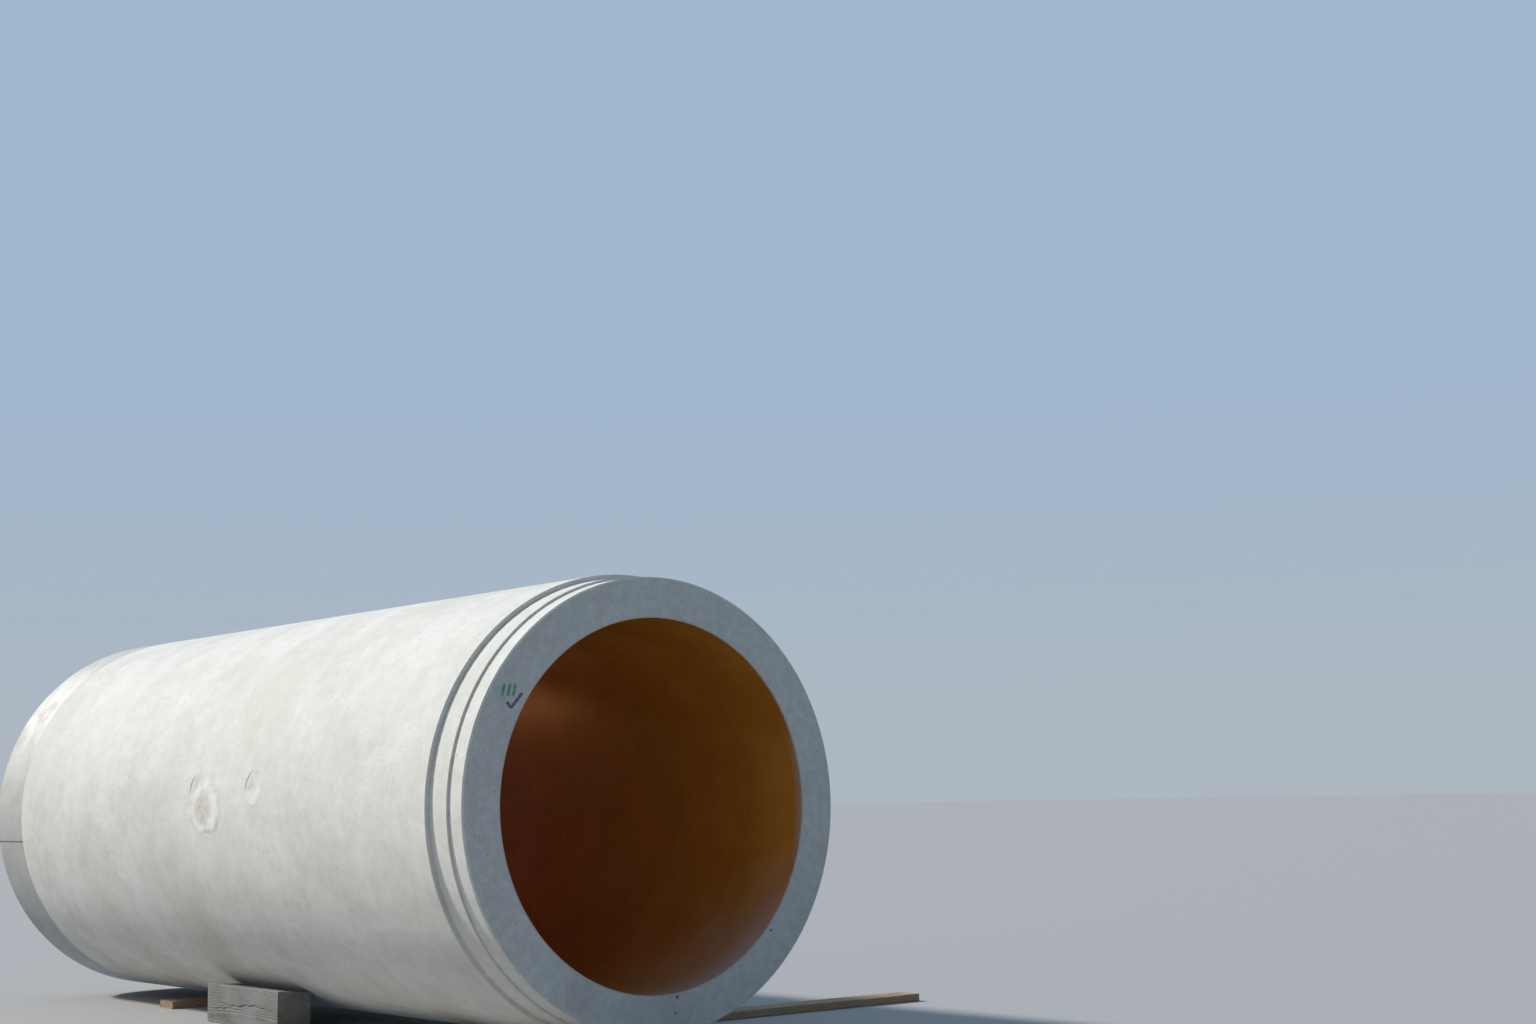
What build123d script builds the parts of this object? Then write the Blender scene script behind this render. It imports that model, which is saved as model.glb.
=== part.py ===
from build123d import *
import math
import os

# A concrete jacking pipe, lined with resin, with a stepped spigot at one end and a steel collar
# at the other. It lies on two flat bearers, with a squared timber chocking its left side.
# Millimetres. The origin is the centre of the spigot's end face, +Y runs along the pipe towards
# the collar, +X is to the right of someone who looks into the spigot, and +Z is up.

# Barrel and bore; the wall is measured from the lined bore to the outside
bore_radius = 500.0
wall_thickness = 130.0
lining_thickness = 3.0
bond_line = 0.3
pipe_length = 3000.0

# Spigot: a nose that enters the next pipe's collar, then a land that centres in it
nose_step = 6.5
nose_length = 65.0
nose_chamfer = 5.0
land_clearance = 7.0
land_length = 84.0
land_arris = 1.5
shoulder_arris = 2.0

# Steel collar, flush with the barrel, drawn in a little where it grips the concrete
collar_thickness = 6.0
collar_grip = 74.0
collar_reach = 146.0
collar_lead_in = 3.0
grip_draw = 1.0

# Two round pockets in the left flank, one of them at mid-length, filled to just below the surface
pocket_radius = 50.0
pocket_depth = 2.0
pocket_spacing = 372.0
pocket_rise = 6.4

# Bearers under the pipe, set in from the ends of the concrete
bearer_thickness = 25.0
bearer_width = 100.0
bearer_length = 1800.0
bearer_left = 325.0
bearer_inset = 630.0
timber_arris = 2.0

# Chock: a squared timber along the pipe, its inner top arris bearing on the barrel
chock_length = 480.0
chock_width = 109.0
chock_fall = 8.0
chock_offset = 90.0
chock_angle = 30.4
chock_clearance = 0.3

concrete_bore_radius = bore_radius + lining_thickness + bond_line
barrel_radius = bore_radius + wall_thickness
collar_inner_radius = barrel_radius - collar_thickness
collar_grip_radius = collar_inner_radius - grip_draw
collar_seat_radius = collar_grip_radius - bond_line
land_radius = collar_inner_radius - land_clearance
nose_radius = land_radius - nose_step
collar_start = pipe_length - collar_grip
collar_end = pipe_length + collar_reach
shoulder = nose_length + land_length
floor = -(barrel_radius + bearer_thickness)

os.makedirs("parts", exist_ok=True)

# Pockets: round plugs pointing out of the flank, less everything deeper than the pockets' floor
outward = Vector(-1, 0, 0).rotate(Axis.Y, pocket_rise)

with BuildPart() as pockets:
    for along in (pipe_length / 2 - pocket_spacing, pipe_length / 2):
        with BuildSketch(Plane(origin=(0, along, 0), z_dir=outward)):
            Circle(pocket_radius)
        extrude(amount=barrel_radius + pocket_depth)
    with BuildSketch(Plane.XZ):
        Circle(barrel_radius - pocket_depth)
    extrude(amount=-pipe_length, mode=Mode.SUBTRACT)

# Concrete: the whole wall turned about the pipe's axis, from the spigot's nose to the collar's seat
with BuildPart() as concrete_pipe:
    with BuildSketch(Plane.XY):
        with BuildLine():
            Polyline(
                (concrete_bore_radius, 0),
                (nose_radius - nose_chamfer, 0),
                (nose_radius, nose_chamfer),
                (nose_radius, nose_length),
                (land_radius - land_arris, nose_length),
                (land_radius, nose_length + land_arris),
                (land_radius, shoulder),
                (barrel_radius - shoulder_arris, shoulder),
                (barrel_radius, shoulder + shoulder_arris),
                (barrel_radius, collar_start),
                (collar_seat_radius, collar_start),
                (collar_seat_radius, pipe_length),
                (concrete_bore_radius, pipe_length),
                close=True,
            )
        make_face()
    revolve(axis=Axis.Y)
    add(pockets.part, mode=Mode.SUBTRACT)

concrete_pipe.part.label = "concrete_pipe"
export_step(concrete_pipe.part, "parts/concrete_pipe.step")

# Lining: a thin resin tube, flush with both faces of the concrete
with BuildPart() as inner_lining:
    with BuildSketch(Plane.XZ):
        Circle(bore_radius + lining_thickness)
        Circle(bore_radius, mode=Mode.SUBTRACT)
    extrude(amount=-pipe_length)

inner_lining.part.label = "inner_lining"
export_step(inner_lining.part, "parts/inner_lining.step")

# Collar: a plain band with its mouth bevelled inside, to lead the next spigot in
with BuildPart() as steel_collar:
    with BuildSketch(Plane.XY):
        with BuildLine():
            Polyline(
                (collar_grip_radius, collar_start),
                (barrel_radius, collar_start),
                (barrel_radius, collar_end),
                (collar_inner_radius + collar_lead_in, collar_end),
                (collar_inner_radius, collar_end - collar_lead_in),
                (collar_inner_radius, pipe_length),
                (collar_grip_radius, pipe_length),
                close=True,
            )
        make_face()
    revolve(axis=Axis.Y)

steel_collar.part.label = "steel_collar"
export_step(steel_collar.part, "parts/steel_collar.step")


def bearer(name, along):
    """A flat board across and under the pipe, its middle at the given distance along it."""
    with BuildPart() as board:
        with BuildSketch(Plane.YZ.offset(-bearer_left)):
            with Locations((along, floor + bearer_thickness / 2)):
                Rectangle(bearer_width, bearer_thickness)
        extrude(amount=bearer_length)
        chamfer(board.edges().filter_by(Axis.X), timber_arris)
    board.part.label = name
    export_step(board.part, f"parts/{name}.step")
    return board.part


front_bearer = bearer("front_bearer", bearer_inset)
rear_bearer = bearer("rear_bearer", pipe_length - bearer_inset)

# Chock: its inner top arris lies where the barrel passes over at chock_angle from straight down
bearing_radius = barrel_radius + chock_clearance
chock_inner = -bearing_radius * math.sin(math.radians(chock_angle))
chock_outer = chock_inner - chock_width
chock_top = -bearing_radius * math.cos(math.radians(chock_angle))
chock_start = (pipe_length - chock_length) / 2 + chock_offset

with BuildPart() as chock:
    with BuildSketch(Plane.XZ.offset(-chock_start)):
        with BuildLine():
            Polyline(
                (chock_outer, floor),
                (chock_inner, floor),
                (chock_inner, chock_top),
                (chock_outer, chock_top + chock_fall),
                close=True,
            )
        make_face()
    extrude(amount=-chock_length)
    outer_arris = chock.edges().filter_by(Axis.Y).sort_by(Axis.Z)[-1]
    corners = chock.edges().filter_by(Axis.Z)
    chamfer([outer_arris, *corners], timber_arris)

chock.part.label = "chock"
export_step(chock.part, "parts/chock.step")

for piece in (concrete_pipe.part, inner_lining.part, steel_collar.part, front_bearer, rear_bearer, chock.part):
    print(f"{piece.label}: {piece.volume / 1e9:.5f} m3")
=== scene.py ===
# %% [markdown]
# # A lined concrete jacking pipe
#
# A jacking pipe is a thick concrete tube that hydraulic jacks push through the ground. This one
# has a stepped spigot at the near end, a steel collar at the far end and an amber resin lining in
# its bore. It rests on two flat bearers, and a squared timber keeps it from rolling. The solids
# come from the CAD frame. The concrete, the lining and the collar keep their shapes and get their
# finishes here, and sawn timbers take the place of the plain ones. What is too fine for CAD is
# added: the mortar in the two pockets, the weld bead and the inspector's marks on the end face.

# %% The frame
import math

import bpy
import numpy as np
from mathutils import Matrix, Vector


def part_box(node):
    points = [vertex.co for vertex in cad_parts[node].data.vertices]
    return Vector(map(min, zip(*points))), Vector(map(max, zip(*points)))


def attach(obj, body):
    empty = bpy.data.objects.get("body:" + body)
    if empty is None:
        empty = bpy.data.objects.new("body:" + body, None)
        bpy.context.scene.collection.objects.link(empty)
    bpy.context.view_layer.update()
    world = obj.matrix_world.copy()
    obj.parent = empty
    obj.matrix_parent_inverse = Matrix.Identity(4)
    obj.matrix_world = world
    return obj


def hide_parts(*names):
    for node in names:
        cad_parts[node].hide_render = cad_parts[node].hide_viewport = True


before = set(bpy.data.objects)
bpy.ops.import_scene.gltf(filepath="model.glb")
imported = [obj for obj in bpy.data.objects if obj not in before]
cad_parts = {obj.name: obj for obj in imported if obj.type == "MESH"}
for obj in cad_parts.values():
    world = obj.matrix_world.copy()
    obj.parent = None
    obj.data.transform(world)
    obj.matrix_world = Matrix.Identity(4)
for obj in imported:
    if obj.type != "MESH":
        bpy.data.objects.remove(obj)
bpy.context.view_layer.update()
scene = bpy.context.scene

# %% [markdown]
# ## Sizes
#
# The main sizes and places are worked out from the frame's own boxes and from a few values that
# the CAD model was also made from. The axis of the pipe is the Y axis, so a point on the barrel is
# given by its distance along Y and by an angle around the axis.

# %% Sizes from the frame
barrel_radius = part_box("concrete_pipe")[1].x
pipe_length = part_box("concrete_pipe")[1].y
lining_thickness = 0.003
bore_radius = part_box("inner_lining")[1].x - lining_thickness
collar_start, collar_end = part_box("steel_collar")[0].y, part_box("steel_collar")[1].y
floor_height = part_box("front_bearer")[0].z

pocket_radius = 0.050
pocket_depth = 0.002
pocket_spacing = 0.372
pocket_angle = math.radians(180 - 6.4)
pocket_alongs = (pipe_length / 2 - pocket_spacing, pipe_length / 2)
print(f"barrel {barrel_radius:.3f} m, bore {bore_radius:.3f} m, length {pipe_length:.3f} m")

# %% [markdown]
# ## Camera
#
# The photograph was taken from the front left, at the height of the pipe's axis and tilted up.
# Its camera was fitted to the circles of the pipe's ends. A heading, a pitch and a roll are three
# turns that a photographer would recognise, so the camera is built from those instead of from a
# bare matrix.

# %% Camera
camera_place = (-3.4656, -4.6896, 0.0111)
camera_heading = math.radians(39.458)
camera_pitch = math.radians(7.545)
camera_roll = math.radians(-1.045)
camera_lens = 50.64

camera = bpy.data.objects.new("camera", bpy.data.cameras.new("camera"))
camera.data.sensor_width = 36.0
camera.data.lens = camera_lens
camera.data.clip_end = 500.0
camera.matrix_world = (
    Matrix.Translation(camera_place)
    @ Matrix.Rotation(-camera_heading, 4, "Z")
    @ Matrix.Rotation(math.pi / 2 + camera_pitch, 4, "X")
    @ Matrix.Rotation(camera_roll, 4, "Z")
)
scene.collection.objects.link(camera)
scene.camera = camera
print("camera axes:", [[round(c, 4) for c in row] for row in camera.matrix_world.to_3x3()])

# %% [markdown]
# ## Shader arithmetic
#
# A material's pattern is a formula on the point's coordinates: a distance, a band, a wave. Wiring
# Math nodes by hand hides that formula. Here a small class wraps the output of a node, and Python's
# own operators add the Math nodes, so that `1 - mask` means what it says.

# %% Wires
class Wire:
    """One output of a node, which arithmetic can be done on."""

    def __init__(self, finish, socket):
        self.finish = finish
        self.socket = socket

    def math(self, operation, *others):
        """The result of one Math node that takes this wire first."""
        inputs = dict(enumerate((self, *others)))
        return self.finish.add("ShaderNodeMath", inputs, operation=operation)

    def __add__(self, other):
        return self.math("ADD", other)

    def __sub__(self, other):
        return self.math("SUBTRACT", other)

    def __rsub__(self, other):
        return self.math("MULTIPLY_ADD", -1.0, other)

    def __mul__(self, other):
        return self.math("MULTIPLY", other)

    def __pow__(self, other):
        return self.math("POWER", other)

    __radd__ = __add__
    __rmul__ = __mul__

    def smooth(self, start, end):
        """0 where the wire is at start, 1 where it is at end, and an S-shaped rise between."""
        inputs = {"Value": self, "From Min": start, "From Max": end}
        return self.finish.add("ShaderNodeMapRange", inputs, interpolation_type="SMOOTHSTEP")

    def band(self, low, high, edge):
        """1 between low and high and 0 outside; each edge is a rise of twice that width."""
        return self.smooth(low - edge, low + edge) * (1 - self.smooth(high - edge, high + edge))


print("wires are ready")

# %% [markdown]
# ## Patterns
#
# Clouds, dots and spots are what every finish here is made of, so each is a method of one class
# that holds the nodes of a material or of the world. Its `add` method puts in any other node: the
# node's settings go first, because some of them change which inputs the node has.

# %% Patterns
class Nodes:
    """The nodes of a material or of the world, which are added one at a time."""

    def __init__(self, owner, coordinate):
        owner.use_nodes = True
        self.tree = owner.node_tree
        self.point = self.add("ShaderNodeTexCoord", output=coordinate)
        parts = self.add("ShaderNodeSeparateXYZ", {0: self.point}).socket.node.outputs
        self.x, self.y, self.z = (Wire(self, part) for part in parts)

    def add(self, kind, inputs=None, output=0, **settings):
        """Adds a node, sets its settings and then its inputs, and returns one of its outputs."""
        node = self.tree.nodes.new(kind)
        for name, value in settings.items():
            setattr(node, name, value)
        for key, value in (inputs or {}).items():
            self.feed(node.inputs[key], value)
        return Wire(self, node.outputs[output])

    def feed(self, socket, value):
        """Links a wire to a socket, or sets a plain number or colour on it."""
        if isinstance(value, Wire):
            self.tree.links.new(value.socket, socket)
        else:
            socket.default_value = value

    def stretched(self, x, y, z):
        """The point's coordinates, each multiplied by its own number."""
        inputs = {0: self.point, 1: (x, y, z)}
        return self.add("ShaderNodeVectorMath", inputs, operation="MULTIPLY")

    def noise(self, scale, detail=3.0, roughness=0.5, at=None):
        """Smooth random cloud from 0 to 1, about 0.5 on average."""
        inputs = {"Vector": at or self.point, "Scale": scale, "Detail": detail, "Roughness": roughness}
        return self.add("ShaderNodeTexNoise", inputs)

    def pits(self, scale, size, at=None):
        """1 at scattered round dots and 0 between them; size is their share of the spacing."""
        inputs = {"Vector": at or self.point, "Scale": scale}
        distance = self.add("ShaderNodeTexVoronoi", inputs, output="Distance")
        return 1 - distance.smooth(0.55 * size, size)

    def spot(self, place, size, ragged):
        """1 near a place, falling to 0 around size away from it, with an edge that noise bends."""
        away = self.add("ShaderNodeVectorMath", {0: self.point, 1: place}, output=1, operation="DISTANCE")
        away = away + (self.noise(2.2 / size, 3.0, 0.6) - 0.5) * (ragged * size)
        return 1 - away.smooth(0.75 * size, 1.3 * size)

    def mix(self, factor, first, second):
        """A colour that is the first one where factor is 0 and the second one where it is 1."""
        node = self.add("ShaderNodeMix", data_type="RGBA").socket.node
        for socket, value in ((0, factor), (6, first), (7, second)):
            self.feed(node.inputs[socket], value)
        return Wire(self, node.outputs[2])


def colour(red, green, blue):
    """An opaque colour in linear light."""
    return (red, green, blue, 1.0)


print("patterns are ready")

# %% [markdown]
# ## Finishes
#
# A finish is the set of nodes of one material. Its patterns read Object coordinates, which are
# metres in the pipe's own frame, because every piece's object sits at the origin. What is the same
# all over is set on the shader's socket, and only what varies is linked.

# %% Finishes
class Finish(Nodes):
    """A material being made, on the piece's own coordinates in metres."""

    def __init__(self, name, **fixed):
        self.material = bpy.data.materials.new(name)
        super().__init__(self.material, "Object")
        self.surface = self.tree.nodes["Principled BSDF"]
        for socket, value in fixed.items():
            self.surface.inputs[socket.replace("_", " ")].default_value = value

    def bump(self, height, depth, normal=None):
        """A normal that tilts as if the surface rose by depth metres where height goes from 0 to 1."""
        inputs = {"Height": height, "Distance": depth}
        if normal is not None:
            inputs["Normal"] = normal
        return self.add("ShaderNodeBump", inputs)

    def finish(self, **links):
        """Feeds the surface's varying sockets and returns the material."""
        for socket, value in links.items():
            self.feed(self.surface.inputs[socket.replace("_", " ")], value)
        return self.material


def dress(node, material):
    """Gives a CAD node that material in each of its slots."""
    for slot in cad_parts[node].material_slots:
        slot.material = material


print("finishes are ready")

# %% [markdown]
# ## Key light
#
# The end face lies in soft bluish shade while the barrel is bright, so the key light comes from
# beyond the far end, above and on the left. A sun lamp gives it, a few degrees wide, which makes
# the edges of the shadows soft. The view transform is the plain one, so a colour is shown as it is.

# %% Key light
key_towards = (-0.445, 0.68, 0.582)
key_strength = 4.1
key_spread = math.radians(5)
key_colour = (1.0, 0.955, 0.92)

scene.view_settings.view_transform = "Standard"

key = bpy.data.objects.new("key", bpy.data.lights.new("key", "SUN"))
key.data.energy = key_strength
key.data.angle = key_spread
key.data.color = key_colour
heading = math.atan2(key_towards[0], key_towards[1])
elevation = math.atan2(key_towards[2], math.hypot(key_towards[0], key_towards[1]))
key.rotation_euler = (elevation - math.pi / 2, 0, -heading)
scene.collection.objects.link(key)
print("key light points along", [round(c, 3) for c in key.matrix_basis.to_3x3().col[2]])

# %% [markdown]
# ## Fill and backdrop
#
# The world is the fill and the backdrop: pale blue, greyer near the horizon. The part in front of
# the end face is deeper, which gives that face its shade, and the part on the left is paler and
# nearly neutral, which keeps the barrel from turning blue. Far down the bore the glossy resin
# mirrors one part beyond the far end, so the world is dimmer there. Each part is a blend by
# direction, so nothing in it depends on the camera.

# %% Backdrop
backdrop_high = colour(0.35, 0.47, 0.62)
backdrop_low = colour(0.42, 0.475, 0.53)
front_fill = colour(0.16, 0.235, 0.325)
left_fill = colour(0.56, 0.585, 0.575)
far_dim = colour(0.065, 0.075, 0.09)
front_azimuth, left_azimuth, dim_azimuth = 200, -100, -30

world = bpy.data.worlds.new("fill")
sky = Nodes(world, "Generated")


def towards(azimuth):
    """The cosine of the angle to a level direction, whose azimuth runs clockwise from +Y."""
    turn = math.radians(azimuth)
    return sky.x * math.sin(turn) + sky.y * math.cos(turn)


height = sky.z.math("ABSOLUTE")
pale = sky.mix(height.smooth(0.0, 0.22), backdrop_low, backdrop_high)
in_front = towards(front_azimuth).smooth(-0.1, 0.6) * (0.35 + height.smooth(0.0, 0.14) * 0.65)
pale = sky.mix(in_front, pale, front_fill)
pale = sky.mix(towards(left_azimuth).smooth(0.72, 0.98), pale, left_fill)
pale = sky.mix(towards(dim_azimuth).smooth(0.70, 0.93), pale, far_dim)
sky.feed(sky.tree.nodes["Background"].inputs["Color"], pale)
scene.world = world
print("backdrop:", len(sky.tree.nodes), "nodes")

# %% [markdown]
# ## Concrete
#
# The pipe was cast upright in a steel mould, which leaves a smooth pale skin. Close up it isn't
# plain: cement paste dries in clouds, the mould leaves faint streaks along the barrel, lime comes
# out in thin pale veins, and small air bubbles leave pinholes. Each of these is one noise. Unequal
# stretching of the coordinates turns round clouds into streaks, and the places where a noise
# passes its middle value make veins. The end face is mottled, and its colour is painted darker and
# cooler than the barrel's, as painted shade. A picture of concrete would do too, but it would tile,
# and it can't follow a barrel without a seam.

# %% Concrete
joint_width = 0.004
low_face_patches = (((-0.26, 0.0, -0.48), 0.045, 1.2), ((0.05, 0.0, -0.54), 0.06, 1.4))
chip_shade_spots = (((0.378, 0, -0.35), 0.004), ((0.045, 0, -0.55), 0.0035), ((0.052, 0, -0.508), 0.005))
ink_smudge = ((-0.497, 0.0, 0.288), 0.022, 1.3)


def concrete_finish():
    """Pale cement skin: clouds, streaks, lime veins, stains, pinholes, and a mottled end face in painted
    shade.
    """
    concrete = Finish("concrete")
    drift = concrete.add("ShaderNodeTexNoise", {"Vector": concrete.point, "Scale": 1.7}, output="Color")
    inputs = {0: drift, 1: (0.12, 0.12, 0.12), 2: concrete.stretched(1.0, 1.1, 1.0)}
    swirl = concrete.add("ShaderNodeVectorMath", inputs, operation="MULTIPLY_ADD")
    clouds = concrete.noise(2.6, 6.0, 0.66)
    blotches = concrete.noise(17.0, 6.0, 0.70, swirl)
    streaks = concrete.noise(8.0, 5.0, 0.66, concrete.stretched(3.0, 1.0, 3.0))
    veins = (concrete.noise(7.0, 5.0, 0.6, swirl) - 0.5).math("ABSOLUTE")
    veins = (1 - veins.smooth(0.004, 0.022)) * concrete.noise(3.1, 2.0).smooth(0.42, 0.62)
    grain = concrete.noise(150.0, 4.0, 0.75)
    stains = concrete.noise(1.6, 4.0, 0.55, concrete.stretched(1.0, 1.4, 0.8)).smooth(0.52, 0.72)
    pinholes = concrete.pits(46.0, 0.10) * concrete.noise(5.0).smooth(0.45, 0.6)

    # The end face is told from the barrel by its place, within 2 mm of y = 0
    end = 1 - concrete.y.smooth(0.0005, 0.002)
    skin_tone = clouds * 0.40 + blotches * 0.20 + streaks * 0.16 + grain * 0.24
    mottle = concrete.noise(34.0, 6.0, 0.72) * 0.45 + concrete.noise(9.0, 4.0, 0.6) * 0.14
    mottle = mottle + grain * 0.25 + 0.08
    tone = (skin_tone * (1 - end) + mottle * end).smooth(0.36, 0.64)
    skin = concrete.mix(tone, colour(0.550, 0.540, 0.490), colour(0.735, 0.730, 0.685))
    # The end face's colour is darker and bluer than the barrel's: painted shade over its own mottle
    end_face_shade = concrete.mix(tone, colour(0.385, 0.40, 0.40), colour(0.545, 0.56, 0.565))
    skin = concrete.mix(end * 0.65, skin, end_face_shade)
    skin = concrete.mix(stains * (1 - end) * 0.28, skin, colour(0.54, 0.50, 0.40))
    skin = concrete.mix(veins * (1 - end) * 0.30, skin, colour(0.80, 0.79, 0.76))

    # A broken dark line where the concrete meets the collar, then pinholes and chips painted dark
    # as shade in them, two darker patches low on the end face, and a smudge
    joint = concrete.y.band(collar_start - joint_width, collar_start, 0.3 * joint_width)
    skin = concrete.mix(joint * blotches.smooth(0.3, 0.6) * 0.5, skin, colour(0.30, 0.29, 0.26))
    # Pinholes are sunk by the bump and also painted dark: painted shade inside the holes
    skin = concrete.mix(pinholes * 0.75, skin, colour(0.16, 0.15, 0.13))
    # Two patches low on the end face are a little darker
    low_face_darkening = concrete.spot(*low_face_patches[0]) + concrete.spot(*low_face_patches[1])
    skin = concrete.mix(low_face_darkening * end * 0.16, skin, colour(0.22, 0.21, 0.19))
    # A chip is only a dark spot with no hollow in the skin: painted shade where the chip is
    for place, size in chip_shade_spots:
        skin = concrete.mix(concrete.spot(place, size, 0.8) * 0.8, skin, colour(0.07, 0.065, 0.06))
    skin = concrete.mix(concrete.spot(*ink_smudge) * 0.35, skin, colour(0.33, 0.45, 0.38))

    relief = concrete.bump(blotches * 0.5 + streaks * 0.2 + grain * 0.3, 0.0009)
    relief = concrete.bump(1 - pinholes, 0.002, relief)
    return concrete.finish(Base_Color=skin, Normal=relief, Roughness=0.8 + tone * 0.12)


dress("concrete_pipe", concrete_finish())
print("concrete:", len(bpy.data.materials["concrete"].node_tree.nodes), "nodes")

# %% [markdown]
# ## Resin lining
#
# The bore is lined with a glossy amber resin over a woven mesh. Light comes in at both open ends
# and bounces from wall to wall, and each bounce takes away more blue than red. That is why the
# same resin looks golden near the rim and red-brown deep inside: it needs no painted gradient,
# only a saturated colour and real light. The mesh is a wave around the bore times a wave along
# it. The wave around has a whole number of turns, so it closes on itself. Dust lies low down near
# the mouth and at the sides of the rim, and the resin's cut edge is pale and ragged.

# %% Lining
weave_pitch = 0.009
weave_turns = round(2 * math.pi * bore_radius / weave_pitch)
seam_angle = math.radians(92.5)


def lining_finish():
    """Amber resin: woven relief, faint depth of colour, and a film of pale dust low down.

    Angles run from the top of the bore towards +X.
    """
    lining = Finish("lining", IOR=1.56, Specular_Tint=colour(1.0, 0.50, 0.22))
    angle = lining.x.math("ARCTAN2", lining.z)
    around = (angle * float(weave_turns)).math("SINE")
    along = (lining.y * (2 * math.pi / weave_pitch)).math("SINE")
    weave = around * along * 0.5 + 0.5
    clouds = lining.noise(3.0, 5.0, 0.6)
    flow = lining.noise(8.0, 3.0, 0.5, lining.stretched(1.0, 0.35, 1.0))
    windings = lining.noise(1.3, 4.0, 0.6, lining.stretched(2.5, 75.0, 2.5)).smooth(0.3, 0.7)
    resin = lining.mix(clouds.smooth(0.35, 0.65), colour(0.51, 0.198, 0.024), colour(0.62, 0.27, 0.042))
    resin = lining.mix(weave * 0.12 + windings * 0.2, resin, colour(0.37, 0.12, 0.012))
    seam = (angle - seam_angle).math("ABSOLUTE")
    broken = lining.noise(60.0, 2.0, 0.5, lining.stretched(1.0, 1.0, 0.0)).smooth(0.50, 0.62)
    resin = lining.mix((1 - seam.smooth(0.001, 0.004)) * broken * 0.6, resin, colour(0.10, 0.03, 0.006))

    # Dust: how low a point lies, times how near the mouth it is, and a strip around the rim
    lowness = lining.x * 0.35 - lining.z + (clouds - 0.5) * 0.2
    low = lowness.smooth(0.55 * bore_radius, 1.15 * bore_radius)
    near = 1 - (lining.y + (flow - 0.5) * 0.2).smooth(-0.05, 0.45)
    strip = 1 - (lining.y + (flow - 0.5) * 0.05).smooth(0.0, 0.15)
    dust = low * (near * 0.55 + strip * 0.35 + 0.1)
    rim = (1 - (lining.y + flow * 0.03).smooth(0.012, 0.058)) * lining.z.band(-0.14, 0.16, 0.11)
    dusty = dust.math("MAXIMUM", rim * 0.6)
    powder = lining.mix(strip, colour(0.40, 0.30, 0.265), colour(0.52, 0.42, 0.39))
    resin = lining.mix(dusty, resin, powder)

    ragged = lining.y + (lining.noise(55.0, 4.0, 0.65) - 0.5) * 0.012
    edge = 1 - ragged.smooth(0.003, 0.0055)
    resin = lining.mix(edge, resin, colour(0.50, 0.50, 0.48))
    relief = lining.bump(weave, 0.00013)
    relief = lining.bump(flow, 0.0006, relief)
    return lining.finish(Base_Color=resin, Normal=relief, Roughness=0.23 + dusty * 0.035 + edge * 0.4)


dress("inner_lining", lining_finish())
print("lining:", weave_turns, "threads around the bore")

# %% [markdown]
# ## Steel collar
#
# The collar is a band of thin stainless steel, rolled to a ring and welded. It has lain in the
# yard with cement dust on it, so it is no mirror: in the sun it is about as bright as the concrete
# and only a little cooler in the shade. So the finish is partly metal and partly dull film, with
# fine lines around the ring in its roughness and long soft waves in its bump.

# %% Collar
def steel_finish():
    """Dull rolled steel: fine lines around the ring, shallow waves and a film of cement dust."""
    steel = Finish("collar_steel", Metallic=0.3)
    lines = steel.noise(22.0, 4.0, 0.6, steel.stretched(0.6, 30.0, 0.6))
    waves = steel.noise(7.0, 2.0, 0.5, steel.stretched(1.0, 0.3, 1.0))
    marks = steel.noise(11.0, 5.0, 0.65).smooth(0.4, 0.7)
    plate = steel.mix(marks, colour(0.50, 0.495, 0.465), colour(0.44, 0.435, 0.405))
    relief = steel.bump(waves, 0.004)
    relief = steel.bump(lines, 0.00025, relief)
    return steel.finish(Base_Color=plate, Normal=relief, Roughness=0.58 + lines * 0.18 + marks * 0.08)


dress("steel_collar", steel_finish())
print("collar from", round(collar_start, 3), "to", round(collar_end, 3))

# %% [markdown]
# ## From arrays to meshes
#
# The new pieces are closed skins, and each is a stack of rings. A timber's rings close one end,
# run along it and close the other end, while those of a patch of mortar run out over its top and
# back below it. The whole stack is one numpy array, so a crack or a saw mark is a formula on that
# array. One function turns any such stack into a mesh, with a fan of triangles at each pole, and
# turns the faces outwards by the sign of the volume that they enclose.

# %% Mesh tools
sharp_angle = math.radians(40)


def soft_noise(rows, columns, spread_rows, spread_columns, seed):
    """White noise blurred by a Gaussian that wraps round at the edges, scaled to a spread of 1.

    The blur is a product in the Fourier transform: exp(-2 (pi f s)^2) for frequency f, spread s.
    """
    white = np.random.default_rng(seed).standard_normal((rows, columns))
    down = np.fft.fftfreq(rows)[:, None] * spread_rows
    across = np.fft.fftfreq(columns)[None, :] * spread_columns
    blur = np.exp(-2 * np.pi**2 * (down**2 + across**2))
    soft = np.fft.ifft2(np.fft.fft2(white) * blur).real
    return soft / soft.std()


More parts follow.
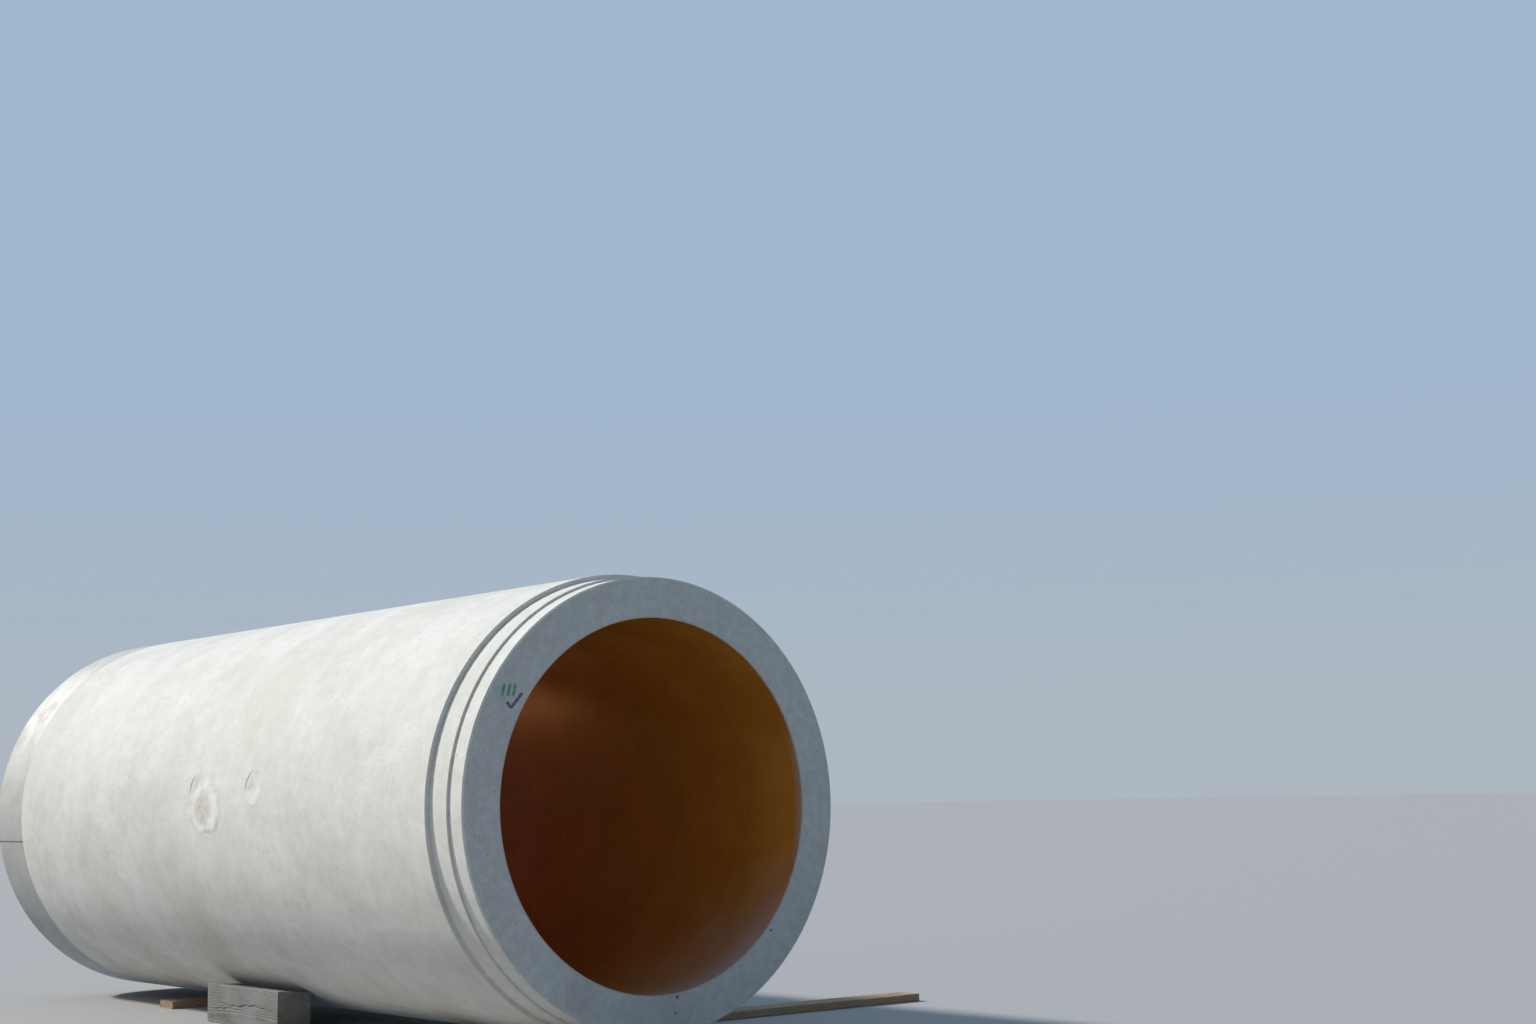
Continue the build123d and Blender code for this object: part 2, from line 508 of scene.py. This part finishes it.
def stack_mesh(name, rings, attributes=None):
    """A closed mesh from an array of rings, shape (rows, columns, 3), with a pole at each end.

    Vertex i of row j joins vertex i + 1 of that row and both of row j + 1; the first and the last
    row also join a pole at their mean point. An attribute's values have one row for each ring.
    """
    rows, columns = rings.shape[:2]
    poles = np.array([rings[0].mean(0), rings[-1].mean(0)])
    points = np.concatenate([rings.reshape(-1, 3), poles])
    here = np.arange(rows * columns).reshape(rows, columns)
    right = np.roll(here, -1, axis=1)
    quads = np.stack([here[:-1], right[:-1], right[1:], here[1:]], -1).reshape(-1, 4)
    first = np.stack([right[0], here[0], np.full(columns, rows * columns)], -1)
    last = np.stack([here[-1], right[-1], np.full(columns, rows * columns + 1)], -1)
    triangles = np.concatenate([quads[:, [0, 1, 2]], quads[:, [0, 2, 3]], first, last])
    corners = points[triangles]
    volume = np.einsum("ij,ij->i", corners[:, 0], np.cross(corners[:, 1], corners[:, 2])).sum() / 6
    faces = [*quads.tolist(), *first.tolist(), *last.tolist()]
    if volume < 0:
        faces = [face[::-1] for face in faces]
    mesh = bpy.data.meshes.new(name)
    mesh.from_pydata(points.tolist(), [], faces)
    mesh.polygons.foreach_set("use_smooth", np.ones(len(mesh.polygons), bool))
    mesh.set_sharp_from_angle(angle=sharp_angle)
    for label, values in (attributes or {}).items():
        full = np.concatenate([values.ravel(), values[[0, -1]].mean(1)])
        mesh.attributes.new(label, "FLOAT", "POINT").data.foreach_set("value", full.astype(np.float32))
    piece = bpy.data.objects.new(name, mesh)
    scene.collection.objects.link(piece)
    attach(piece, "root")
    print(f"{name}: {len(triangles)} triangles, {abs(volume) * 1e6:.0f} cm3")
    return piece


# %% [markdown]
# ## A timber's section and its cracks
#
# The chock and the bearers are rough-sawn softwood that has lain outdoors. A box with a wood
# material would look like one at a distance, but its edges would be too straight and its drying
# cracks only painted. So each timber is a rounded outline carried along the grain. A drying crack
# is a narrow valley in its skin, which wanders along the grain and closes at both ends.

# %% Outline and cracks
arc_points = 6


def rounded_outline(corners, radius, spacing):
    """Points around a convex polygon whose corners are arcs of that radius.

    Each arc's centre lies on the corner's bisector, and each straight run is cut into even steps.
    Returns the points and each one's outward direction.
    """
    corners = np.array(corners, float)
    middle = corners.mean(0)
    points, outward = [], []
    for corner, before, after in zip(corners, np.roll(corners, 1, 0), np.roll(corners, -1, 0)):
        back = (before - corner) / np.linalg.norm(before - corner)
        following = after - corner
        reach = np.linalg.norm(following)
        on = following / reach
        half = math.acos(np.clip(back @ on, -1, 1)) / 2
        centre = corner + (back + on) / np.linalg.norm(back + on) * radius / math.sin(half)
        inset = radius / math.tan(half)
        start, end = corner + back * inset, corner + on * inset
        share = np.linspace(0, 1, arc_points)[:, None]
        arc = (1 - share) * (start - centre) + share * (end - centre)
        arc /= np.linalg.norm(arc, axis=1)[:, None]
        points.append(centre + arc * radius)
        outward.append(arc)
        steps = max(2, round(reach / spacing))
        share = np.linspace(0, 1, steps + 1)[1:-1, None]
        run = end + (after - on * inset - end) * share
        normal = np.array([following[1], -following[0]]) / reach
        normal *= np.sign(normal @ (corner - middle))
        points.append(run)
        outward.append(np.repeat(normal[None], len(run), 0))
    return np.concatenate(points), np.concatenate(outward)


def crack_depth(across, along, cracks, seed):
    """How deep the drying cracks are at each point of a timber's skin.

    across and along are the point's distances round the outline and down the length. A crack is
    depth * exp(-((across - line) / width)^2), times a rise and fall between its two ends, where
    line wanders as a sum of two sines. Each crack is (place, start, end, depth, width) in metres.
    """
    random = np.random.default_rng(seed)
    total = np.zeros(np.broadcast(across, along).shape)
    for place, start, end, depth, width in cracks:
        phase = random.uniform(0, 2 * math.pi, 2)
        line = place + 0.004 * np.sin(along * 23 + phase[0]) + 0.0015 * np.sin(along * 91 + phase[1])
        share = np.clip((along - start) / (end - start), 0, 1)
        profile = np.exp(-(((across - line) / width) ** 2))
        total = total + depth * np.sin(math.pi * share) ** 0.6 * profile
    return total


print("outlines have", arc_points, "points to a corner")

# %% [markdown]
# ## Sawn timber
#
# The skin of a timber is pushed inwards by three things: by wear, by the waver of the saw and by
# the cracks. None of them pushes it outwards, so the timber keeps to the size of the solid that it
# stands for. The ends are caps of shrinking rings, a little rough as the saw left them.

# %% Sawn timber
timber_arris = 0.003
wear_depth = 0.0006
waver_depth = 0.00012
end_roughness = 0.0004
cap_rows = 25


def sawn_timber(name, corners, start, length, spacing, step, cracks, seed, run_axis):
    """A closed timber: its outline carried down its length, with caps that shrink to a pole.

    The outline lies in the plane across run_axis (0 for X, 1 for Y). spacing and step are the
    distances between points round the outline and down the length.
    """
    outline, outward = rounded_outline(corners, timber_arris, spacing)
    columns = len(outline)
    stations = np.linspace(0, length, round(length / step) + 1)
    rows = len(stations)
    around = np.concatenate([[0], np.cumsum(np.linalg.norm(np.diff(outline, axis=0), axis=1))])
    wear = np.abs(soft_noise(rows, columns, 0.03 / step, 0.02 / spacing, seed)) * wear_depth
    waver = soft_noise(rows, columns, 0.002 / step, 0.03 / spacing, seed + 1)
    waver = (waver + 2.5).clip(0) * waver_depth
    inward = wear + waver + crack_depth(around[None, :], stations[:, None], cracks, seed)
    sides = outline[None] - outward[None] * inward[..., None]
    shrink = np.concatenate([np.linspace(0.04, 0.9, cap_rows - 1), [0.97]])[:, None, None]
    middle = outline.mean(0)
    near_cap, far_cap = (middle + (ring[None] - middle) * shrink for ring in (sides[0], sides[-1]))
    flat = np.concatenate([near_cap, sides, far_cap[::-1]])
    run = np.concatenate([np.zeros(cap_rows), stations, np.full(cap_rows, length)])
    run = run[:, None] + np.zeros((1, columns))
    ends = soft_noise(cap_rows, columns, 1.0, 2.0, seed + 2).clip(-2, 2)
    ends = ends * end_roughness + 2 * end_roughness
    run[:cap_rows] += ends
    run[-cap_rows:] -= ends[::-1]
    rings = np.empty((*flat.shape[:2], 3))
    rings[..., run_axis] = start + run
    rings[..., 1 - run_axis] = flat[..., 0]
    rings[..., 2] = flat[..., 1]
    return stack_mesh(name, rings)


# The chock's top falls towards the pipe. Two cracks are on its outer side, two on top, one inside
chock_low, chock_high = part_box("chock")
chock_length = chock_high.y - chock_low.y
chock_fall = 0.008
chock_corners = [
    (chock_low.x, chock_low.z),
    (chock_high.x, chock_low.z),
    (chock_high.x, chock_high.z - chock_fall),
    (chock_low.x, chock_high.z),
]
chock_cracks = [
    (0.385, 0.02, 0.40, 0.006, 0.0011),
    (0.400, 0.22, 0.47, 0.004, 0.0009),
    (0.290, 0.05, 0.30, 0.004, 0.0010),
    (0.255, 0.15, 0.45, 0.005, 0.0012),
    (0.150, 0.10, 0.35, 0.003, 0.0009),
]
chock_timber = sawn_timber(
    "chock_timber", chock_corners, chock_low.y, chock_length,
    spacing=0.002, step=0.004, cracks=chock_cracks, seed=11, run_axis=1,
)
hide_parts("chock")

# %% [markdown]
# ## Bearers
#
# The two bearers are like boards, so one loop makes them. Each has its own seed, which gives it
# its own cracks: nobody finds two boards that dried alike. They are all in the top, where they show.

# %% Bearers
lath_cracks = 9
lath_top = (0.13, 0.22)
lath_crack_depth, lath_crack_width = 0.0025, 0.001

laths = {}
for number, node in enumerate(("front_bearer", "rear_bearer")):
    low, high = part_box(node)
    corners = [(low.y, low.z), (high.y, low.z), (high.y, high.z), (low.y, high.z)]
    random = np.random.default_rng(30 + number)
    cracks = []
    for _ in range(lath_cracks):
        begin = random.uniform(0.0, 1.4)
        place = random.uniform(*lath_top)
        end = begin + random.uniform(0.12, 0.4)
        cracks.append((place, begin, end, lath_crack_depth, lath_crack_width))
    lath = sawn_timber(
        f"{node}_lath", corners, low.x, high.x - low.x,
        spacing=0.003, step=0.007, cracks=cracks, seed=40 + number, run_axis=0,
    )
    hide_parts(node)
    laths[node] = lath

# %% [markdown]
# ## Timber finish
#
# Growth rings are cylinders around the tree's heart. A wave on the distance from a line along the
# timber cuts them as the saw does: long grain on the sides and arcs on the ends, from one formula.
# Weather greys the outer wood, and dark dirt stays in the grain. The chock has weathered through
# to grey and shows no knots, while the bearers are still brown below the grey.

# %% Timber materials
ring_waves = 1150.0
late_wood_share = 0.52


def timber_finish(name, heart, run_axis, fresh, grey, weathering, knottiness):
    """Sawn softwood: growth rings around the heart line, fibre along the grain, knots and greying.

    The rings are a sine of the distance to the heart line, bent by noise; ring_waves is in radians
    for each metre, so a ring is 5.5 mm wide.
    """
    wood = Finish(name)
    stretch = [26.0, 26.0, 26.0]
    stretch[run_axis] = 1.3
    fibre = wood.noise(9.0, 5.0, 0.65, wood.stretched(*stretch))
    bend = wood.noise(3.0, 3.0, 0.5)
    side = (wood.x if run_axis == 1 else wood.y) - heart[0]
    rise = wood.z - heart[1]
    distance = (side * side + rise * rise) ** 0.5 + bend * 0.02
    rings = (distance * ring_waves).math("SINE") * 0.5 + 0.5
    stretch = [9.0, 9.0, 9.0]
    stretch[run_axis] = 3.0
    knots = wood.pits(1.0, 0.16, wood.stretched(*stretch))
    sawdust = wood.noise(190.0, 2.0, 0.6)
    late_wood = colour(*(part * late_wood_share for part in fresh[:3]))
    grain = wood.mix((rings * 0.55 + fibre * 0.45).smooth(0.3, 0.75), fresh, late_wood)
    weather = wood.noise(7.0, 5.0, 0.6).smooth(0.30, 0.66) * weathering
    grain = wood.mix(weather, grain, grey)
    grain = wood.mix(fibre.smooth(0.56, 0.74) * 0.55, grain, colour(0.06, 0.05, 0.04))
    grain = wood.mix(knots * knottiness, grain, colour(0.07, 0.04, 0.025))
    relief = wood.bump(rings * 0.35 + fibre * 0.65, 0.0016)
    relief = wood.bump(sawdust, 0.0006, relief)
    return wood.finish(Base_Color=grain, Normal=relief, Roughness=0.78 + weather * 0.12)


chock_heart = (chock_low.x + 0.03, chock_low.z + 0.02)
chock_wood = timber_finish(
    "chock_timber", chock_heart, run_axis=1,
    fresh=colour(0.20, 0.18, 0.15), grey=colour(0.225, 0.23, 0.225), weathering=0.95, knottiness=0.0,
)
chock_timber.data.materials.append(chock_wood)
for number, (node, lath) in enumerate(laths.items()):
    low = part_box(node)[0]
    wood = timber_finish(
        f"bearer_timber_{number}", (low.y + 0.04, low.z - 0.10), run_axis=0,
        fresh=colour(0.42, 0.275, 0.145), grey=colour(0.32, 0.255, 0.19), weathering=0.6, knottiness=0.75,
    )
    lath.data.materials.append(wood)
print("timbers:", [piece.name for piece in (chock_timber, *laths.values())])

# %% [markdown]
# ## Reliefs on the barrel
#
# Mortar on a barrel is a relief on a curve: a flat disc would read as a sticker. So a patch is
# worked out in distances around and along the barrel, with a height above it at each point, and
# only then bent round the axis. The lumps that a trowel leaves are read from one sheet of noise.

# %% Reliefs
def on_barrel(around, along, rise, angle):
    """Points on the barrel, around metres from an angle and along metres down the axis.

    x = r cos(a), y = along, z = r sin(a), with a = angle + around / R and r = R + rise, so that
    around grows downwards on the left flank as the angle does.
    """
    turn = angle + around / barrel_radius
    radius = barrel_radius + rise
    return np.stack([radius * np.cos(turn), along + 0 * turn, radius * np.sin(turn)], -1)


def relief_piece(name, angle, along, reach, top, bottom, rings, columns, attribute=None):
    """A closed patch on the barrel: a polar grid for its top skin and another for its underside.

    reach(t) is the outline's radius in direction t. top(s, t, u, v) and bottom(s, t, u, v) are
    heights above the barrel, where s goes from 0 in the middle to 1 at the rim, and u and v are
    the distances around and along. An attribute is a label and a formula on the same four.
    """
    turn = np.linspace(0, 2 * math.pi, columns, endpoint=False)[None, :]
    share = np.linspace(0, 1, rings)[1:, None]
    radius = share * reach(turn)
    u, v = radius * np.sin(turn), radius * np.cos(turn)
    skin = on_barrel(u, along + v, top(share, turn, u, v), angle)
    under = on_barrel(u, along + v, bottom(share, turn, u, v), angle)
    values = None
    if attribute is not None:
        label, formula = attribute
        field = formula(share, turn, u, v) + 0 * turn
        values = {label: np.concatenate([field, field[::-1]])}
    return stack_mesh(name, np.concatenate([skin, under[::-1]]), values)


def lumps(u, v, size, seed):
    """Soft noise at (u, v), with lumps of about that size in metres.

    It is read from a square sheet of noise with points 1 mm apart, blended between the four points
    around (u, v). The sheet repeats, so any place is on it.
    """
    count, pitch = 256, 0.001
    sheet = soft_noise(count, count, size / pitch, size / pitch, seed)
    row, column = np.floor(u / pitch), np.floor(v / pitch)
    down, across = u / pitch - row, v / pitch - column
    row, column = row.astype(int) % count, column.astype(int) % count
    below, beside = (row + 1) % count, (column + 1) % count
    first = sheet[row, column] * (1 - across) + sheet[row, beside] * across
    second = sheet[below, column] * (1 - across) + sheet[below, beside] * across
    return first * (1 - down) + second * down


print("reliefs bend to a radius of", round(barrel_radius, 3), "m")

# %% [markdown]
# ## Mortar in the pockets
#
# Two round pockets in the left flank were used to lift and to grout the pipe, and were filled by
# hand. Each filling is dished a little below the skin, and it shrank away from the rim on one
# side, where a thin crescent of shadow shows. Its underside is the pocket's floor.

# %% Pocket fillings
plug_radius = pocket_radius + 0.0003
plug_rings, plug_columns = 44, 160
finger_hole_radius = 0.005


def plug(name, along, seed, gap_side, dot):
    """The hand-filled mortar of one pocket: dished, lumpy, and shrunk from the rim on one side.

    gap_side is the direction of that side, 0 towards the collar and negative upwards. dot is the
    depth of a small hole that a finger left in the middle.
    """

    def top(s, t, u, v):
        """A shallow dish with lumps, a groove where it shrank from the rim, and a finger hole."""
        dish = -0.0006 + 0.0006 * s**4
        rough = lumps(u, v, 0.006, seed) * 0.00022 + lumps(u, v, 0.0013, seed + 1) * 0.00010
        gap = np.clip(np.cos(t - gap_side) * 3.4 - 2.1, 0, 1)
        groove = 0.0019 * np.exp(-(((s - 0.92) / 0.05) ** 2)) * gap
        hole = dot * np.exp(-((u**2 + v**2) / finger_hole_radius**2))
        return np.clip(dish + rough * (1 - s**8) - groove - hole, -pocket_depth + 0.0001, 0.0009)

    def bottom(s, t, u, v):
        """The pocket's floor."""
        return -pocket_depth + 0 * s * t

    def reach(t):
        """A circle just wider than the pocket, so that no gap shows around it."""
        return plug_radius + 0 * t

    return relief_piece(name, pocket_angle, along, reach, top, bottom, plug_rings, plug_columns)


plugs = [
    plug("grout_plug", pocket_alongs[0], seed=51, gap_side=-0.45, dot=0.0014),
    plug("lifting_plug", pocket_alongs[1], seed=57, gap_side=-0.10, dot=0.0),
]

# %% [markdown]
# ## Smear of paste
#
# The filling at mid-length was dressed once more, with a thin smear of paste that runs over its
# lower rim. Its middle is rough and brown, and around that the paste is pale and trowelled thin,
# until it feathers out into the concrete. Each vertex keeps a number that says in which of these
# zones it lies, and the material reads it.

# %% Smear
smear_along = 1.440
smear_angle = math.radians(178.6)
smear_size = (0.086, 0.118)
smear_rings, smear_columns = 60, 220
core_place = (0.004, 0.012)
core_size = 0.075


def smear_reach(t):
    """An oval whose outline waves a little: two radii, times one plus a few small sines."""
    oval = smear_size[0] * smear_size[1] / np.hypot(smear_size[1] * np.sin(t), smear_size[0] * np.cos(t))
    return oval * (1 + 0.05 * np.sin(3 * t + 0.6) + 0.03 * np.sin(5 * t + 2.0) + 0.015 * np.sin(11 * t))


def core_mask(u, v):
    """1 in the rough brown middle, falling softly to 0 in the pale trowelled paste around it."""
    away = np.hypot(u - core_place[0], v - core_place[1]) / core_size
    return np.clip(1.0 - away, 0, 1) ** 0.7


def smear_zones(s, t, u, v):
    """The core's mask in the middle, less one that rises from 0 to 1 where the paste thins out."""
    return core_mask(u, v) - np.clip((s - 0.62) / 0.38, 0, 1)


def smear_top(s, t, u, v):
    """Thickest in the middle and feathered out to below the skin at the rim."""
    feather = 1 - np.clip((s - 0.72) / 0.28, 0, 1) ** 2
    body = 0.0010 * feather - 0.0005 * (1 - feather)
    sweeps = 0.00010 * np.sin(26 * s + 1.5 * np.sin(t) + 2 * np.sin(2 * t + 1))
    core = core_mask(u, v)
    grit = lumps(u, v, 0.0016, 64) * 0.00020 * (0.1 + 0.9 * core)
    return body + sweeps * (1 - core) + grit + lumps(u, v, 0.007, 63) * 0.00018


def smear_bottom(s, t, u, v):
    """Just below the barrel's skin."""
    return -0.0012 + 0 * s * t


smear = relief_piece(
    "mortar_smear", smear_angle, smear_along, smear_reach, smear_top, smear_bottom,
    smear_rings, smear_columns, attribute=("zones", smear_zones),
)

# %% [markdown]
# ## Mortar finish
#
# Fresh mortar is paler than old concrete and full of sand, which shows as fine dark grains and as
# a fine bump. A filling is duller on its upper side and paler towards its lower side. In the smear
# the zones of the mesh choose between the brown core, the pale paste and the dull thin edge.

# %% Mortar materials
def mortar_finish(name, with_core):
    """Cement paste with sand grains, paler low down in a plug; a smear's core is brown and rough."""
    mortar = Finish(name, Roughness=0.9)
    clouds = mortar.noise(24.0, 5.0, 0.6)
    sand = mortar.noise(420.0, 3.0, 0.7)
    pale = mortar.mix(clouds.smooth(0.3, 0.7), colour(0.70, 0.69, 0.65), colour(0.79, 0.78, 0.75))
    dull = mortar.mix(clouds.smooth(0.3, 0.7), colour(0.57, 0.56, 0.515), colour(0.70, 0.69, 0.65))
    if with_core:
        zones = mortar.add("ShaderNodeAttribute", output="Fac", attribute_name="zones")
        patchy = mortar.noise(60.0, 5.0, 0.7)
        brown = mortar.mix(patchy.smooth(0.35, 0.65), colour(0.47, 0.44, 0.365), colour(0.62, 0.60, 0.535))
        paste = mortar.mix((zones + (clouds - 0.5) * 1.3).smooth(-0.75, -0.1), dull, pale)
        paste = mortar.mix((zones + (patchy - 0.5) * 1.1).smooth(0.15, 0.7) * 0.8, paste, brown)
    else:
        pocket_height = barrel_radius * math.sin(pocket_angle)
        low = (pocket_height - mortar.z + (clouds - 0.5) * 0.03).smooth(-0.004, 0.016)
        paste = mortar.mix(low, dull, pale)
    paste = mortar.mix(sand.smooth(0.62, 0.78) * 0.25, paste, colour(0.38, 0.35, 0.30))
    return mortar.finish(Base_Color=paste, Normal=mortar.bump(sand, 0.0006))


for piece in (*plugs, smear):
    piece.data.materials.append(mortar_finish(piece.name, with_core=piece is smear))
print("mortar on:", [piece.name for piece in (*plugs, smear)])

# %% [markdown]
# ## Weld bead
#
# The collar's band was bent round and its ends were welded, so one thin bead runs across it. A
# bead is a row of frozen ripples, each a half-moon that bulges the way the welder went. It is the
# same kind of surface as the mortar: heights above the barrel, here on a long narrow strip. Its
# section is a lens, and the ripples are a sine of the distance down the bead. Its sides lag behind
# its middle by a set distance, which bends each ripple to a half-moon.

# %% Weld bead
weld_angle = math.radians(188.4)
weld_width = 0.007
weld_height = 0.0009
weld_margin = 0.001
ripple_pitch = 0.004
ripple_bulge = 1.2 * ripple_pitch
weld_rows, weld_columns = 440, 24

down = np.linspace(collar_start + weld_margin, collar_end - weld_margin, weld_rows)[:, None]
turn = np.linspace(0, 2 * math.pi, weld_columns, endpoint=False)[None, :]
swelling = 1 + 0.06 * soft_noise(weld_rows, 1, 6.0, 0.1, 91)
across = 0.5 * weld_width * np.cos(turn) * swelling
ripples = 0.86 + 0.14 * np.sin(2 * math.pi * (down - ripple_bulge * np.cos(turn) ** 2) / ripple_pitch)
lens = weld_height * np.sin(turn)
rise = np.where(lens > 0, lens * ripples, 0.5 * lens)
weld = stack_mesh("weld_bead", on_barrel(across, down, rise, weld_angle))


def weld_finish():
    """Bare steel, browned by the heat in faint bands."""
    bead = Finish("weld_bead", Metallic=0.5)
    heat = bead.noise(60.0, 4.0, 0.6).smooth(0.35, 0.7)
    tint = bead.mix(heat, colour(0.40, 0.38, 0.35), colour(0.27, 0.235, 0.19))
    return bead.finish(Base_Color=tint, Roughness=0.38 + heat * 0.2)


weld.data.materials.append(weld_finish())

# %% [markdown]
# ## Inspector's marks
#
# Someone checked the end face, ticked it with a dark marker and set a small green mark beside it.
# Here the green mark is three plain strokes. Paint could be a mask in the concrete's material, but
# it is a few millimetres wide on a part three metres long, and it would blur when the material is
# baked. A stroke of its own stays sharp: a ribbon of paint that is thin enough to look soaked in.

# %% Marks on the end face
paint_thickness = 0.00022
stroke_rows, stroke_columns = 90, 12
tick_path = [(-0.480, 0.266), (-0.465, 0.253), (-0.431, 0.291)]
tick_width = 0.0085
green_places = (-0.489, -0.472, -0.456)
green_bottom, green_top = 0.281, 0.314
green_slant = 0.004
green_width = 0.009


def paint_stroke(name, path, width, seed, ink):
    """A ribbon of paint on the end face, along straight runs between the path's (x, z) points.

    Each cross-section is a flat lens: half its points on the skin and half just behind the face.
    Its width swells and thins with noise and closes at both ends.
    """
    path = np.array(path, float)
    lengths = np.concatenate([[0], np.cumsum(np.linalg.norm(np.diff(path, axis=0), axis=1))])
    at = np.linspace(0, lengths[-1], stroke_rows)
    line = np.stack([np.interp(at, lengths, path[:, 0]), np.interp(at, lengths, path[:, 1])], -1)
    forward = np.gradient(line, axis=0)
    forward /= np.linalg.norm(forward, axis=1)[:, None]
    side = np.stack([-forward[:, 1], forward[:, 0]], -1)
    tip = np.clip(np.minimum(at, lengths[-1] - at) / (0.5 * width), 0.05, 1) ** 0.5
    ragged = soft_noise(stroke_rows, 2, 2.0, 0.1, seed) * 0.07
    turn = np.linspace(0, 2 * math.pi, stroke_columns, endpoint=False)
    reach = 0.5 * width * tip[:, None] * np.cos(turn)[None]
    reach = reach * (1 + np.where(np.cos(turn)[None] > 0, ragged[:, :1], ragged[:, 1:]))
    ring = line[:, None, :] + side[:, None, :] * reach[..., None]
    depth = -paint_thickness * np.sin(turn)[None] * tip[:, None]
    stroke = stack_mesh(name, np.stack([ring[..., 0], depth, ring[..., 1]], -1))
    stroke.data.materials.append(ink)


def ink_finish(name, tint):
    """Matt ink that has soaked in unevenly."""
    ink = Finish(name, Roughness=0.8)
    worn = ink.noise(160.0, 4.0, 0.7).smooth(0.42, 0.66)
    return ink.finish(Base_Color=ink.mix(worn * 0.55, tint, colour(0.45, 0.47, 0.46)))


dark_ink = ink_finish("dark_ink", colour(0.05, 0.08, 0.13))
green_ink = ink_finish("green_ink", colour(0.075, 0.30, 0.17))
paint_stroke("tick_stroke", tick_path, tick_width, 71, dark_ink)
for number, place in enumerate(green_places):
    bar = [(place - green_slant, green_bottom), (place + green_slant, green_top)]
    paint_stroke(f"green_stroke_{number}", bar, green_width, 80 + number, green_ink)

# %% [markdown]
# ## Floor
#
# The pipe stands on one plain pale floor, so wide that its edge is the horizon. It is only a
# stage: it takes the shadow that shows how the pipe rests on its timbers. Mirror images leave it
# out, or the glossy resin would show a pale floor through the far opening and lose its deep colour.

# %% Floor
floor_colour = colour(0.37, 0.37, 0.365)
floor_reach = 150.0

floor_mesh = bpy.data.meshes.new("floor")
floor_corners = [
    (x * floor_reach, y * floor_reach, floor_height)
    for x, y in ((-1, -1), (1, -1), (1, 1), (-1, 1))
]
floor_mesh.from_pydata(floor_corners, [], [(0, 1, 2, 3)])
floor = bpy.data.objects.new("floor", floor_mesh)
scene.collection.objects.link(floor)
floor_paint = Finish("floor", Roughness=0.9)
floor_mesh.materials.append(floor_paint.finish(Base_Color=floor_colour))
floor.visible_glossy = False
print("floor at", round(floor_height, 4))

# %% [markdown]
